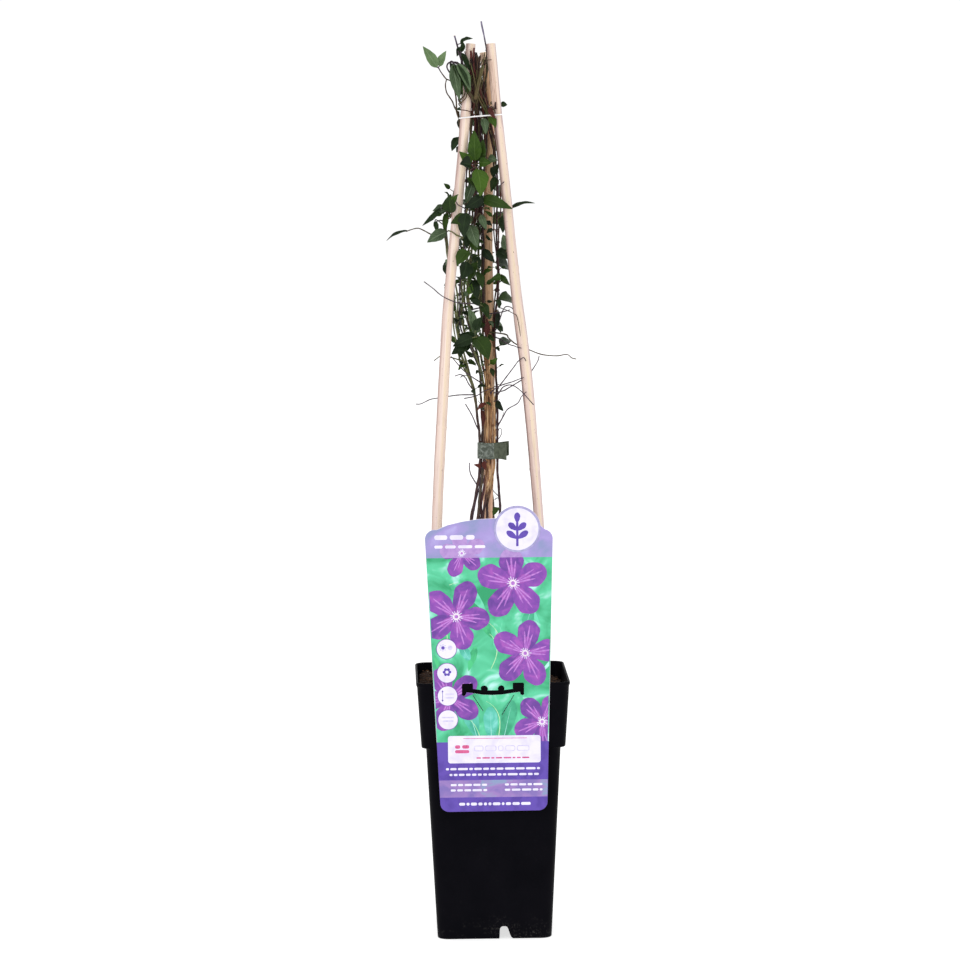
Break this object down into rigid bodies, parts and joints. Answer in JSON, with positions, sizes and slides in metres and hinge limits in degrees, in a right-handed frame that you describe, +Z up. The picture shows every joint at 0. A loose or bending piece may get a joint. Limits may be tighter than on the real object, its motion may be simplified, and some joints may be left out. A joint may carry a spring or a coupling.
{
  "type": "potted climbing plant on canes",
  "caption": "Young clematis-like climber with leafy twining stems tied to three bamboo canes in a deep square nursery pot with a blank-text hanging label",
  "frame": {"origin": "on the ground under the middle of the whole plant's bounding box", "axes": "+Z up along the canes, -Y toward the labelled front, +X to the viewer's right"},
  "size_m": [0.1622, 0.1364, 0.7861],
  "materials": {
    "pot_plastic": "thin black injection-moulded plastic, satin",
    "compost": "loose peat and bark compost, moist",
    "cane_pale": "pale split-free bamboo, smooth",
    "cane_brown": "weathered bamboo with brown streaks",
    "tie_tape": "soft grey-green tying tape",
    "elastic": "white elastic ring",
    "label_card": "printed plastic card, glossy",
    "foliage": "fresh dark green leaves, satin, on brown stems",
    "stem": "thin woody brown stem"
  },
  "bodies": {
    "root": {"pot": "pot_plastic", "soil": "compost", "cane_left": "cane_pale", "cane_right": "cane_pale", "cane_back": "cane_brown", "tie": "tie_tape", "band": "elastic", "label": "label_card", "vine_1": "foliage", "vine_2": "foliage", "vine_3": "stem", "vine_4": "foliage", "vine_5": "foliage", "vine_6": "foliage", "vine_7": "foliage", "vine_8": "foliage"}
  },
  "joints": []
}
